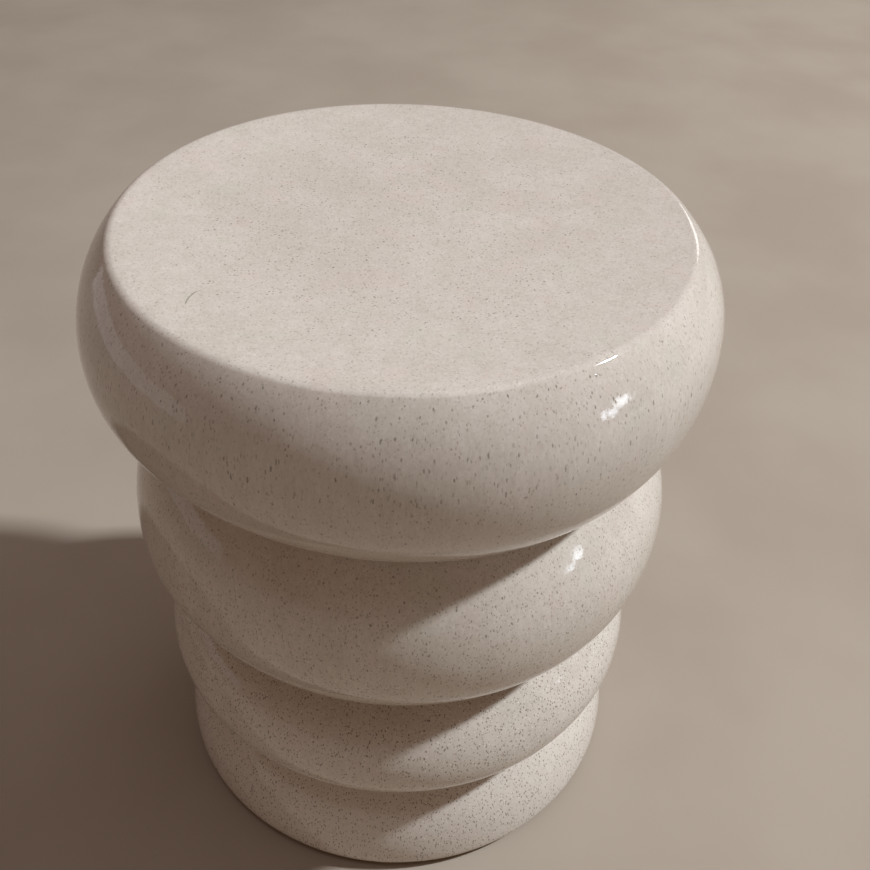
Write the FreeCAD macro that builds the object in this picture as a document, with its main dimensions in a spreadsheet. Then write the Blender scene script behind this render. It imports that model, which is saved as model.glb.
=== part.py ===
# Ceramic garden stool: four hollow stoneware bulges luted together, with a
# pressed seat, a slab foot ring and a glaze coat over the outside.
# Millimetres, +Z up, origin on the axis at the floor.
import FreeCAD, Part
import Sketcher
import math
import os

doc = FreeCAD.newDocument("garden_stool")

# ---------------------------------------------------------------- dimensions
sheet = doc.addObject("Spreadsheet::Sheet", "Dims")
DIMS = [
    ("total_height", 450.0, "floor to the crest of the rim, over the glaze"),
    ("glaze_coat", 0.7, "glass skin"),
    ("wall", 8.0, "clay wall of every section"),
    ("joint_land", 7.0, "width of the clay joint at a crease"),
    ("seat_flat_radius", 60.0, "flat middle of the dish"),
    ("seat_dish", 5.0, "depth of the dish below the rim crest"),
    ("rim_crest_radius", 173.3, "where the rim is highest"),
    ("rim_round", 7.0, "round of the rim, over the glaze"),
    ("seat_joint_height", 433.0, "flat joint between seat slab and top wall"),
    ("bulge_a_radius", 201.1, "top bulge, clay"),
    ("bulge_a_height", 392.8, ""),
    ("crease_ab_radius", 154.8, "clay at the first crease"),
    ("crease_ab_height", 318.2, ""),
    ("bulge_b_radius", 186.8, "second bulge, clay"),
    ("bulge_b_height", 245.3, ""),
    ("crease_bc_radius", 138.0, "clay at the second crease"),
    ("crease_bc_height", 176.0, ""),
    ("bulge_c_radius", 176.6, "third bulge, clay"),
    ("bulge_c_height", 122.4, ""),
    ("crease_cd_radius", 138.9, "clay at the third crease"),
    ("crease_cd_height", 84.4, ""),
    ("bulge_d_radius", 173.3, "lowest bulge, clay"),
    ("bulge_d_height", 12.0, "also the thickness of the foot ring"),
    ("foot_radius", 167.0, "clay where the stool meets the floor"),
    ("foot_opening_radius", 125.0, "open middle of the foot ring"),
    ("foot_edge_round", 1.5, "outer edge of the foot"),
    ("opening_edge_round", 3.0, "both edges of the opening"),
    ("glaze_line_height", 4.0, "the glaze stops above the floor"),
    ("crease_pool_round", 2.0, "glaze pooled in the creases"),
    ("coil_half_height", 4.0, "luting coil at a crease"),
    ("coil_bulge", 4.0, "how far a crease coil stands in"),
    ("corner_coil", 8.0, "leg of a coil in an inside corner"),
    ("seat_coil_hollow", 24.0, "radius of the face of the coil under the seat"),
]
D = {}
for row, (alias, value, note) in enumerate(DIMS, start=1):
    sheet.set("A%d" % row, alias)
    sheet.set("B%d" % row, "%g" % value)
    sheet.set("C%d" % row, note)
    sheet.setAlias("B%d" % row, alias)
    D[alias] = value
doc.recompute()


def num(text):
    """Value of a sum of aliases such as 'wall + glaze_coat'."""
    words = text.split()
    total = D[words[0]]
    for sign, word in zip(words[1::2], words[2::2]):
        total += D[word] if sign == "+" else -D[word]
    return total


def expr(text):
    """The same sum as an expression on the sheet."""
    return " ".join(w if w in "+-" else "Dims." + w for w in text.split())


# ------------------------------------------------------------ profile sketch
class Profile:
    """A closed profile in the XZ plane, drawn point by point.

    A point is (r, z): each is a sum of aliases, which is then a driving
    dimension, or a plain number, which only starts the solver off.
    """

    def __init__(self, label):
        self.body = doc.addObject("PartDesign::Body", label)
        self.body.Label = label
        self.sk = self.body.newObject("Sketcher::SketchObject", label + "_profile")
        plane = [f for f in self.body.Origin.OriginFeatures if f.Role == "XZ_Plane"][0]
        self.sk.AttachmentSupport = [(plane, "")]
        self.sk.MapMode = "FlatFace"
        self.segs = []
        self.pts = []
        self.count = 0

    def point(self, r, z):
        rn = num(r) if isinstance(r, str) else float(r)
        zn = num(z) if isinstance(z, str) else float(z)
        self.pts.append(((r, z), (rn, zn)))
        return len(self.pts) - 1

    def line(self, a, b, along=None):
        p, q = self.pts[a][1], self.pts[b][1]
        gid = self.sk.addGeometry(Part.LineSegment(
            FreeCAD.Vector(p[0], p[1], 0), FreeCAD.Vector(q[0], q[1], 0)), False)
        self.segs.append((gid, 1, 2, a, b))
        if along:
            self.sk.addConstraint(Sketcher.Constraint(along, gid))
        return len(self.segs) - 1

    def arc(self, a, b, centre):
        """Arc the short way round from a to b about a starting centre."""
        p, q = self.pts[a][1], self.pts[b][1]
        r = 0.5 * (math.dist(p, centre) + math.dist(q, centre))
        ta = math.atan2(p[1] - centre[1], p[0] - centre[0])
        tb = math.atan2(q[1] - centre[1], q[0] - centre[0])
        turn = (tb - ta + math.pi) % (2 * math.pi) - math.pi
        circle = Part.Circle(FreeCAD.Vector(centre[0], centre[1], 0),
                             FreeCAD.Vector(0, 0, 1), r)
        if turn > 0:
            gid = self.sk.addGeometry(Part.ArcOfCircle(circle, ta, ta + turn), False)
            self.segs.append((gid, 1, 2, a, b))
        else:
            gid = self.sk.addGeometry(Part.ArcOfCircle(circle, tb, tb - turn), False)
            self.segs.append((gid, 2, 1, a, b))
        return len(self.segs) - 1

    def add(self, *args):
        return self.sk.addConstraint(Sketcher.Constraint(*args))

    def drive(self, index, text):
        name = "size_%d" % self.count
        self.count += 1
        self.sk.renameConstraint(index, name)
        self.sk.setExpression("Constraints." + name, expr(text))

    def level_centre(self, seg, end):
        """Centre level with one end: the arc is upright there."""
        gid, s, e = self.segs[seg][:3]
        self.add("Horizontal", gid, 3, gid, s if end == "start" else e)

    def over_centre(self, seg, end):
        """Centre straight above or below one end: the arc is level there."""
        gid, s, e = self.segs[seg][:3]
        self.add("Vertical", gid, 3, gid, s if end == "start" else e)

    def same_centre(self, seg, other):
        self.add("Coincident", self.segs[seg][0], 3, self.segs[other][0], 3)

    def centre_at(self, seg, r, z):
        gid = self.segs[seg][0]
        self.drive(self.add("DistanceX", -1, 1, gid, 3, num(r)), r)
        self.drive(self.add("DistanceY", -1, 1, gid, 3, num(z)), z)

    def radius(self, seg, text):
        self.drive(self.add("Radius", self.segs[seg][0], num(text)), text)

    def close(self, tangents=()):
        """Join the ends, and put the driving dimensions on the points."""
        n = len(self.segs)
        for i in range(n):
            g0, s0, e0 = self.segs[i][:3]
            g1, s1, e1 = self.segs[(i + 1) % n][:3]
            kind = "Tangent" if i in tangents else "Coincident"
            self.add(kind, g0, e0, g1, s1)
        for gid, s, e, a, b in self.segs:
            (r, z), (rn, zn) = self.pts[a]
            if isinstance(r, str):
                self.drive(self.add("DistanceX", -1, 1, gid, s, num(r)), r)
            elif rn == 0.0:
                self.add("PointOnObject", gid, s, -2)
            if isinstance(z, str):
                self.drive(self.add("DistanceY", -1, 1, gid, s, num(z)), z)
            elif zn == 0.0:
                self.add("PointOnObject", gid, s, -1)

    def revolve(self):
        rev = self.body.newObject("PartDesign::Revolution", self.body.Name + "_turned")
        rev.Profile = self.sk
        rev.ReferenceAxis = (self.sk, ["V_Axis"])
        rev.Angle = 360.0
        self.sk.Visibility = False
        self.body.Tip = rev
        doc.recompute()
        return rev


# ------------------------------------------------- starting values for arcs
def bulge_arc(apex, crease):
    """Centre and radius of the arc that is upright at the apex."""
    dr, dz = apex[0] - crease[0], crease[1] - apex[1]
    rho = (dr * dr + dz * dz) / (2.0 * dr)
    return (apex[0] - rho, apex[1]), rho


def on_arc_r(centre, rho, r, sign):
    """Height of the arc at radius r, above (+1) or below (-1) its centre."""
    return centre[1] + sign * math.sqrt(rho * rho - (r - centre[0]) ** 2)


def on_arc_z(centre, rho, z):
    return centre[0] + math.sqrt(rho * rho - (z - centre[1]) ** 2)


def crossing(ca, ra, cb, rb, near):
    """The crossing of two circles that lies nearest a point."""
    d = math.dist(ca, cb)
    a = (ra * ra - rb * rb + d * d) / (2.0 * d)
    h = math.sqrt(max(ra * ra - a * a, 0.0))
    ux, uz = (cb[0] - ca[0]) / d, (cb[1] - ca[1]) / d
    both = [(ca[0] + a * ux - s * h * uz, ca[1] + a * uz + s * h * ux) for s in (1, -1)]
    return min(both, key=lambda p: math.dist(p, near))


def centre_on_left(start, end, rho):
    """Centre, to the left of the way from start to end, of the arc of radius rho."""
    chord = math.dist(start, end)
    ux, uz = (end[0] - start[0]) / chord, (end[1] - start[1]) / chord
    reach = math.sqrt(rho * rho - 0.25 * chord * chord)
    return (0.5 * (start[0] + end[0]) - uz * reach, 0.5 * (start[1] + end[1]) + ux * reach)


GLAZE = D["glaze_coat"]
WALL = D["wall"]
APEX = {k: (D["bulge_%s_radius" % k], D["bulge_%s_height" % k]) for k in "abcd"}
CREASE = {k: (D["crease_%s_radius" % k], D["crease_%s_height" % k]) for k in ("ab", "bc", "cd")}
LOW = {"a": bulge_arc(APEX["a"], CREASE["ab"]), "b": bulge_arc(APEX["b"], CREASE["bc"]),
       "c": bulge_arc(APEX["c"], CREASE["cd"]), "d": bulge_arc(APEX["d"], (D["foot_radius"], 0.0))}
UP = {"b": bulge_arc(APEX["b"], CREASE["ab"]), "c": bulge_arc(APEX["c"], CREASE["bc"]),
      "d": bulge_arc(APEX["d"], CREASE["cd"])}

# Rim: a small round over the crest, tangent to a long side arc that is
# upright at the apex of the top bulge. Clay surface, so less the glaze.
RIM_C = (D["rim_crest_radius"], D["total_height"] - D["rim_round"])
RIM_R = D["rim_round"] - GLAZE
gap_r, gap_z = APEX["a"][0] - RIM_C[0], RIM_C[1] - APEX["a"][1]
SIDE_R = (gap_r * gap_r + gap_z * gap_z - RIM_R * RIM_R) / (2.0 * (gap_r - RIM_R))
SIDE_C = (APEX["a"][0] - SIDE_R, APEX["a"][1])
k = RIM_R / math.dist(RIM_C, SIDE_C)
RIM_END = (RIM_C[0] + (RIM_C[0] - SIDE_C[0]) * k, RIM_C[1] + (RIM_C[1] - SIDE_C[1]) * k)
# Dish: level at the edge of the flat middle, then rising to meet the rim.
DISH_Z = D["total_height"] - D["seat_dish"] - GLAZE
flat_r = D["seat_flat_radius"]
dr, dz = RIM_C[0] - flat_r, DISH_Z - RIM_C[1]
DISH_R = (dr * dr + dz * dz - RIM_R * RIM_R) / (2.0 * (RIM_R - dz))
DISH_C = (flat_r, DISH_Z + DISH_R)
k = RIM_R / math.dist(RIM_C, DISH_C)
DISH_END = (RIM_C[0] + (DISH_C[0] - RIM_C[0]) * k, RIM_C[1] + (DISH_C[1] - RIM_C[1]) * k)

CLAY_SEAT = "total_height - seat_dish - glaze_coat"

# ------------------------------------------------------------------ seat slab
p = Profile("seat_slab")
seam_z = D["seat_joint_height"]
a = p.point(0.0, "seat_joint_height")
b = p.point(0.0, CLAY_SEAT)
c = p.point("seat_flat_radius", DISH_Z)
d = p.point(*DISH_END)
e = p.point(*RIM_END)
f = p.point(on_arc_z(SIDE_C, SIDE_R, seam_z), seam_z)
p.line(a, b)
p.line(b, c, "Horizontal")
dish = p.arc(c, d, DISH_C)
rim = p.arc(d, e, RIM_C)
side = p.arc(e, f, SIDE_C)
p.line(f, a, "Horizontal")
p.close(tangents=(dish, rim))
p.over_centre(dish, "start")
p.centre_at(rim, "rim_crest_radius", "total_height - rim_round")
p.radius(rim, "rim_round - glaze_coat")
p.drive(p.add("DistanceY", -1, 1, p.segs[side][0], 3, num("bulge_a_height")), "bulge_a_height")
# The side arc passes through the apex of the top bulge: an end of a
# construction line stands there.
apex_line = p.sk.addGeometry(Part.LineSegment(
    FreeCAD.Vector(SIDE_C[0], SIDE_C[1], 0), FreeCAD.Vector(APEX["a"][0], APEX["a"][1], 0)), True)
p.add("Coincident", apex_line, 1, p.segs[side][0], 3)
p.add("Horizontal", apex_line)
p.drive(p.add("DistanceX", -1, 1, apex_line, 2, num("bulge_a_radius")), "bulge_a_radius")
p.add("PointOnObject", apex_line, 2, p.segs[side][0])
p.revolve()

# -------------------------------------------------------------- top bulge wall
p = Profile("top_bulge_wall")
in_side = SIDE_R - WALL
in_low = LOW["a"][1] - WALL
lip = CREASE["ab"][0] - D["joint_land"]
a = p.point(on_arc_z(SIDE_C, in_side, seam_z), seam_z)
b = p.point(on_arc_z(SIDE_C, SIDE_R, seam_z), "seat_joint_height")
c = p.point("bulge_a_radius", "bulge_a_height")
d = p.point("crease_ab_radius", "crease_ab_height")
e = p.point("crease_ab_radius - joint_land", CREASE["ab"][1])
f = p.point(lip, on_arc_r(LOW["a"][0], in_low, lip, -1))
g = p.point("bulge_a_radius - wall", APEX["a"][1])
p.line(a, b, "Horizontal")
out_up = p.arc(b, c, SIDE_C)
out_dn = p.arc(c, d, LOW["a"][0])
p.line(d, e, "Horizontal")
p.line(e, f, "Vertical")
in_dn = p.arc(f, g, LOW["a"][0])
in_up = p.arc(g, a, SIDE_C)
p.close()
p.level_centre(out_up, "end")
p.level_centre(out_dn, "start")
p.same_centre(in_dn, out_dn)
p.same_centre(in_up, out_up)
p.level_centre(in_dn, "end")
# The side arc is the one that the rim round touches from inside.
rim_arc = p.sk.addGeometry(Part.ArcOfCircle(Part.Circle(
    FreeCAD.Vector(RIM_C[0], RIM_C[1], 0), FreeCAD.Vector(0, 0, 1), RIM_R),
    math.atan2(RIM_END[1] - RIM_C[1], RIM_END[0] - RIM_C[0]), 0.5 * math.pi), True)
side_arc = p.sk.addGeometry(Part.ArcOfCircle(Part.Circle(
    FreeCAD.Vector(SIDE_C[0], SIDE_C[1], 0), FreeCAD.Vector(0, 0, 1), SIDE_R),
    math.atan2(seam_z - SIDE_C[1], on_arc_z(SIDE_C, SIDE_R, seam_z) - SIDE_C[0]),
    math.atan2(RIM_END[1] - SIDE_C[1], RIM_END[0] - SIDE_C[0])), True)
p.drive(p.add("DistanceX", -1, 1, rim_arc, 3, num("rim_crest_radius")), "rim_crest_radius")
p.drive(p.add("DistanceY", -1, 1, rim_arc, 3, num("total_height - rim_round")), "total_height - rim_round")
p.drive(p.add("Radius", rim_arc, RIM_R), "rim_round - glaze_coat")
p.add("Vertical", rim_arc, 3, rim_arc, 2)
p.add("Coincident", side_arc, 3, p.segs[out_up][0], 3)
p.add("Tangent", side_arc, 2, rim_arc, 1)
p.add("Coincident", side_arc, 1, p.segs[out_up][0], p.segs[out_up][1])
p.revolve()


# -------------------------------------------------- second and third bulge wall
def middle_wall(label, key, above, below):
    p = Profile(label)
    apex, top, low = APEX[key], CREASE[above], CREASE[below]
    in_up, in_low = UP[key][1] - WALL, LOW[key][1] - WALL
    top_lip, low_lip = top[0] - D["joint_land"], low[0] - D["joint_land"]
    a = p.point("crease_%s_radius - joint_land" % above, top[1])
    b = p.point("crease_%s_radius" % above, "crease_%s_height" % above)
    c = p.point("bulge_%s_radius" % key, "bulge_%s_height" % key)
    d = p.point("crease_%s_radius" % below, "crease_%s_height" % below)
    e = p.point("crease_%s_radius - joint_land" % below, low[1])
    f = p.point(low_lip, on_arc_r(LOW[key][0], in_low, low_lip, -1))
    g = p.point("bulge_%s_radius - wall" % key, apex[1])
    h = p.point(top_lip, on_arc_r(UP[key][0], in_up, top_lip, 1))
    p.line(a, b, "Horizontal")
    out_up = p.arc(b, c, UP[key][0])
    out_dn = p.arc(c, d, LOW[key][0])
    p.line(d, e, "Horizontal")
    p.line(e, f, "Vertical")
    in_dn = p.arc(f, g, LOW[key][0])
    in_up = p.arc(g, h, UP[key][0])
    p.line(h, a, "Vertical")
    p.close()
    p.level_centre(out_up, "end")
    p.level_centre(out_dn, "start")
    p.same_centre(in_dn, out_dn)
    p.same_centre(in_up, out_up)
    p.level_centre(in_dn, "end")
    p.revolve()


middle_wall("second_bulge_wall", "b", "ab", "bc")
middle_wall("third_bulge_wall", "c", "bc", "cd")

# ------------------------------------------------------------ fourth bulge wall
p = Profile("fourth_bulge_wall")
top_lip = CREASE["cd"][0] - D["joint_land"]
in_up_r = UP["d"][1] - WALL
a = p.point("crease_cd_radius - joint_land", CREASE["cd"][1])
b = p.point("crease_cd_radius", "crease_cd_height")
c = p.point("bulge_d_radius", "bulge_d_height")
d = p.point("bulge_d_radius - wall", APEX["d"][1])
e = p.point(top_lip, on_arc_r(UP["d"][0], in_up_r, top_lip, 1))
p.line(a, b, "Horizontal")
out_up = p.arc(b, c, UP["d"][0])
p.line(c, d, "Horizontal")
in_up = p.arc(d, e, UP["d"][0])
p.line(e, a, "Vertical")
p.close()
p.level_centre(out_up, "end")
p.same_centre(in_up, out_up)
p.revolve()

# ------------------------------------------------------------------- foot ring
p = Profile("foot_ring")
a = p.point("foot_opening_radius", "bulge_d_height")
b = p.point("bulge_d_radius", APEX["d"][1])
c = p.point("foot_radius", 0.0)
d = p.point(D["foot_opening_radius"], 0.0)
p.line(a, b, "Horizontal")
turn_in = p.arc(b, c, LOW["d"][0])
p.line(c, d)
p.line(d, a, "Vertical")
p.close()
p.level_centre(turn_in, "start")
rev = p.revolve()


def ring_edges(shape, radius, height):
    """Names of the circular edges at a radius and a height."""
    names = []
    for i, edge in enumerate(shape.Edges, start=1):
        curve = edge.Curve
        if isinstance(curve, Part.Circle) and abs(curve.Radius - radius) < 0.05 \
                and abs(curve.Center.z - height) < 0.05 and abs(curve.Axis.z) > 0.99:
            names.append("Edge%d" % i)
    return names


def round_edges(body, base, edges, alias, name):
    fillet = body.newObject("PartDesign::Fillet", name)
    fillet.Base = (base, edges)
    fillet.Radius = D[alias]
    fillet.setExpression("Radius", "Dims." + alias)
    body.Tip = fillet
    doc.recompute()
    return fillet


first = round_edges(p.body, rev, ring_edges(rev.Shape, D["foot_opening_radius"], 0.0)
                    + ring_edges(rev.Shape, D["foot_opening_radius"], APEX["d"][1]),
                    "opening_edge_round", "opening_edges")
round_edges(p.body, first, ring_edges(first.Shape, D["foot_radius"], 0.0),
            "foot_edge_round", "foot_edge")


# ---------------------------------------------------------------- luting coils
def crease_coil(label, key):
    """A coil of clay pressed over a crease joint from inside."""
    p = Profile(label)
    lip = CREASE[key][0] - D["joint_land"]
    z = CREASE[key][1]
    half, bulge = D["coil_half_height"], D["coil_bulge"]
    radius = "crease_%s_radius - joint_land" % key
    height = "crease_%s_height" % key
    a = p.point(radius, height + " - coil_half_height")
    b = p.point(lip, height + " + coil_half_height")
    c = p.point(radius + " - coil_bulge", height)
    p.line(a, b, "Vertical")
    rho = (half * half + bulge * bulge) / (2.0 * bulge)
    centre = (lip - bulge + rho, z)
    upper = p.arc(b, c, centre)
    lower = p.arc(c, a, centre)
    p.close()
    p.same_centre(lower, upper)
    p.revolve()


crease_coil("upper_crease_coil", "ab")
crease_coil("middle_crease_coil", "bc")
crease_coil("lower_crease_coil", "cd")

# In the corner under the seat: its back lies on the inside of the top wall.
p = Profile("seat_joint_coil")
leg = D["corner_coil"]
in_side = SIDE_R - WALL
corner_r = on_arc_z(SIDE_C, in_side, seam_z)
low_r = on_arc_z(SIDE_C, in_side, seam_z - leg)
a = p.point(corner_r - leg, "seat_joint_height")
b = p.point(corner_r, seam_z)
c = p.point(low_r, "seat_joint_height - corner_coil")
p.line(a, b, "Horizontal")
back = p.arc(b, c, SIDE_C)
face = p.arc(c, a, centre_on_left((low_r, seam_z - leg), (corner_r - leg, seam_z), D["seat_coil_hollow"]))
p.close()
gid, s, e = p.segs[0][:3]
p.drive(p.add("Distance", gid, leg), "corner_coil")
p.radius(face, "seat_coil_hollow")
# The back is concentric with the wall: a construction line runs from its
# centre to the apex of the bulge, and the wall is its distance inside that.
apex_line = p.sk.addGeometry(Part.LineSegment(
    FreeCAD.Vector(SIDE_C[0], SIDE_C[1], 0), FreeCAD.Vector(APEX["a"][0], APEX["a"][1], 0)), True)
p.add("Coincident", apex_line, 1, p.segs[back][0], 3)
p.add("Horizontal", apex_line)
p.drive(p.add("DistanceX", -1, 1, apex_line, 2, num("bulge_a_radius")), "bulge_a_radius")
p.drive(p.add("DistanceY", -1, 1, apex_line, 2, num("bulge_a_height")), "bulge_a_height")
rim_arc = p.sk.addGeometry(Part.ArcOfCircle(Part.Circle(
    FreeCAD.Vector(RIM_C[0], RIM_C[1], 0), FreeCAD.Vector(0, 0, 1), RIM_R),
    math.atan2(RIM_END[1] - RIM_C[1], RIM_END[0] - RIM_C[0]), 0.5 * math.pi), True)
side_arc = p.sk.addGeometry(Part.ArcOfCircle(Part.Circle(
    FreeCAD.Vector(SIDE_C[0], SIDE_C[1], 0), FreeCAD.Vector(0, 0, 1), SIDE_R), 0.0,
    math.atan2(RIM_END[1] - SIDE_C[1], RIM_END[0] - SIDE_C[0])), True)
p.drive(p.add("DistanceX", -1, 1, rim_arc, 3, num("rim_crest_radius")), "rim_crest_radius")
p.drive(p.add("DistanceY", -1, 1, rim_arc, 3, num("total_height - rim_round")), "total_height - rim_round")
p.drive(p.add("Radius", rim_arc, RIM_R), "rim_round - glaze_coat")
p.add("Vertical", rim_arc, 3, rim_arc, 2)
p.add("Coincident", side_arc, 3, apex_line, 1)
p.add("Coincident", side_arc, 1, apex_line, 2)
p.add("Tangent", side_arc, 2, rim_arc, 1)
wall_line = p.sk.addGeometry(Part.LineSegment(
    FreeCAD.Vector(APEX["a"][0] - WALL, APEX["a"][1], 0),
    FreeCAD.Vector(APEX["a"][0], APEX["a"][1], 0)), True)
p.add("Coincident", wall_line, 2, apex_line, 2)
p.add("Horizontal", wall_line)
p.drive(p.add("Distance", wall_line, WALL), "wall")
p.add("PointOnObject", wall_line, 1, p.segs[back][0])
p.revolve()

# In the corner on the foot ring: its back lies on the inside of the low wall.
p = Profile("foot_joint_coil")
base_z = APEX["d"][1]
in_up_r = UP["d"][1] - WALL
top_r = on_arc_z(UP["d"][0], in_up_r, base_z + leg)
a = p.point("bulge_d_radius - wall - corner_coil", "bulge_d_height")
b = p.point("bulge_d_radius - wall", base_z)
c = p.point(top_r, "bulge_d_height + corner_coil")
p.line(a, b, "Horizontal")
back = p.arc(b, c, UP["d"][0])
face = p.arc(c, a, (APEX["d"][0] - WALL - leg, base_z + leg))
p.close()
p.level_centre(back, "start")
outer = p.sk.addGeometry(Part.ArcOfCircle(Part.Circle(
    FreeCAD.Vector(UP["d"][0][0], UP["d"][0][1], 0), FreeCAD.Vector(0, 0, 1), UP["d"][1]), 0.0,
    math.atan2(CREASE["cd"][1] - UP["d"][0][1], CREASE["cd"][0] - UP["d"][0][0])), True)
p.add("Coincident", outer, 3, p.segs[back][0], 3)
p.drive(p.add("DistanceX", -1, 1, outer, 1, num("bulge_d_radius")), "bulge_d_radius")
p.drive(p.add("DistanceY", -1, 1, outer, 1, num("bulge_d_height")), "bulge_d_height")
p.drive(p.add("DistanceX", -1, 1, outer, 2, num("crease_cd_radius")), "crease_cd_radius")
p.drive(p.add("DistanceY", -1, 1, outer, 2, num("crease_cd_height")), "crease_cd_height")
gid, s, e = p.segs[face][:3]
p.add("Vertical", gid, 3, gid, e)
p.revolve()

# ------------------------------------------------------------------ glaze coat
p = Profile("glaze_coat")


line_z = D["glaze_line_height"]
out_ab = crossing(LOW["a"][0], LOW["a"][1] + GLAZE, UP["b"][0], UP["b"][1] + GLAZE, CREASE["ab"])
out_bc = crossing(LOW["b"][0], LOW["b"][1] + GLAZE, UP["c"][0], UP["c"][1] + GLAZE, CREASE["bc"])
out_cd = crossing(LOW["c"][0], LOW["c"][1] + GLAZE, UP["d"][0], UP["d"][1] + GLAZE, CREASE["cd"])
k = (RIM_R + GLAZE) / RIM_R
RIM_END_OUT = (RIM_C[0] + (RIM_END[0] - RIM_C[0]) * k, RIM_C[1] + (RIM_END[1] - RIM_C[1]) * k)
DISH_END_OUT = (RIM_C[0] + (DISH_END[0] - RIM_C[0]) * k, RIM_C[1] + (DISH_END[1] - RIM_C[1]) * k)

# The inside of the coat, down from the axis to the glaze line.
i0 = p.point(0.0, CLAY_SEAT)
i1 = p.point("seat_flat_radius", DISH_Z)
i2 = p.point(*DISH_END)
i3 = p.point(*RIM_END)
i4 = p.point("bulge_a_radius", "bulge_a_height")
i5 = p.point("crease_ab_radius", "crease_ab_height")
i6 = p.point("bulge_b_radius", "bulge_b_height")
i7 = p.point("crease_bc_radius", "crease_bc_height")
i8 = p.point("bulge_c_radius", "bulge_c_height")
i9 = p.point("crease_cd_radius", "crease_cd_height")
i10 = p.point("bulge_d_radius", "bulge_d_height")
i11 = p.point(on_arc_z(LOW["d"][0], LOW["d"][1], line_z), "glaze_line_height")
# The outside, back up.
o11 = p.point(on_arc_z(LOW["d"][0], LOW["d"][1] + GLAZE, line_z), line_z)
o10 = p.point("bulge_d_radius + glaze_coat", APEX["d"][1])
o9 = p.point(*out_cd)
o8 = p.point("bulge_c_radius + glaze_coat", APEX["c"][1])
o7 = p.point(*out_bc)
o6 = p.point("bulge_b_radius + glaze_coat", APEX["b"][1])
o5 = p.point(*out_ab)
o4 = p.point("bulge_a_radius + glaze_coat", APEX["a"][1])
o3 = p.point(*RIM_END_OUT)
o2 = p.point(*DISH_END_OUT)
o1 = p.point(D["seat_flat_radius"], DISH_Z + GLAZE)
o0 = p.point(0.0, "total_height - seat_dish")

p.line(i0, i1, "Horizontal")
in_dish = p.arc(i1, i2, DISH_C)
in_rim = p.arc(i2, i3, RIM_C)
in_side = p.arc(i3, i4, SIDE_C)
inner = [p.arc(i4, i5, LOW["a"][0]), p.arc(i5, i6, UP["b"][0]), p.arc(i6, i7, LOW["b"][0]),
         p.arc(i7, i8, UP["c"][0]), p.arc(i8, i9, LOW["c"][0]), p.arc(i9, i10, UP["d"][0]),
         p.arc(i10, i11, LOW["d"][0])]
p.line(i11, o11, "Horizontal")
outer = [p.arc(o11, o10, LOW["d"][0]), p.arc(o10, o9, UP["d"][0]), p.arc(o9, o8, LOW["c"][0]),
         p.arc(o8, o7, UP["c"][0]), p.arc(o7, o6, LOW["b"][0]), p.arc(o6, o5, UP["b"][0]),
         p.arc(o5, o4, LOW["a"][0])]
out_side = p.arc(o4, o3, SIDE_C)
out_rim = p.arc(o3, o2, RIM_C)
out_dish = p.arc(o2, o1, DISH_C)
p.line(o1, o0, "Horizontal")
p.line(o0, i0)
p.close(tangents=(in_dish, in_rim, out_side, out_rim))
for seg, end in zip(inner, ("start", "end", "start", "end", "start", "end", "start")):
    p.level_centre(seg, end)
p.over_centre(in_dish, "start")
p.level_centre(in_side, "end")
p.centre_at(in_rim, "rim_crest_radius", "total_height - rim_round")
p.radius(in_rim, "rim_round - glaze_coat")
for seg, twin in zip(outer, reversed(inner)):
    p.same_centre(seg, twin)
p.same_centre(out_rim, in_rim)
p.same_centre(out_dish, in_dish)
p.level_centre(out_side, "start")
p.over_centre(out_dish, "end")
# One end of each outer arc at an apex is level with its centre.
for seg, end in zip(outer, ("end", "start", "end", "start", "end", "start", "end")):
    if end == "end":
        p.level_centre(seg, "end")
# The foot arc keeps the curve that it would have down to the floor.
foot_arc = p.sk.addGeometry(Part.ArcOfCircle(Part.Circle(
    FreeCAD.Vector(LOW["d"][0][0], LOW["d"][0][1], 0), FreeCAD.Vector(0, 0, 1), LOW["d"][1]),
    math.atan2(0.0 - LOW["d"][0][1], D["foot_radius"] - LOW["d"][0][0]),
    math.atan2(line_z - LOW["d"][0][1], on_arc_z(LOW["d"][0], LOW["d"][1], line_z) - LOW["d"][0][0])), True)
p.add("Coincident", foot_arc, 3, p.segs[inner[-1]][0], 3)
p.add("Coincident", foot_arc, 2, p.segs[inner[-1]][0], p.segs[inner[-1]][2])
p.add("PointOnObject", foot_arc, 1, -1)
p.drive(p.add("DistanceX", -1, 1, foot_arc, 1, num("foot_radius")), "foot_radius")
rev = p.revolve()
edges = []
for r, z in (out_ab, out_bc, out_cd):
    edges += ring_edges(rev.Shape, r, z)
round_edges(p.body, rev, edges, "crease_pool_round", "crease_pools")

# --------------------------------------------------------------------- export
doc.recompute()
bad = [o.Name for o in doc.Objects if "Invalid" in o.State or "Error" in o.State]
if bad:
    raise RuntimeError("objects in error: " + ", ".join(bad))
bodies = [o for o in doc.Objects if o.TypeId == "PartDesign::Body"]
os.makedirs("parts", exist_ok=True)
for body in bodies:
    shape = body.Shape
    if shape.isNull() or not shape.isValid() or len(shape.Solids) != 1:
        raise RuntimeError("bad shape: " + body.Label)
    body.Shape.exportStep("parts/%s.step" % body.Label)
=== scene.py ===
import math

import bpy
import numpy as np
from mathutils import Matrix, Vector


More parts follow.
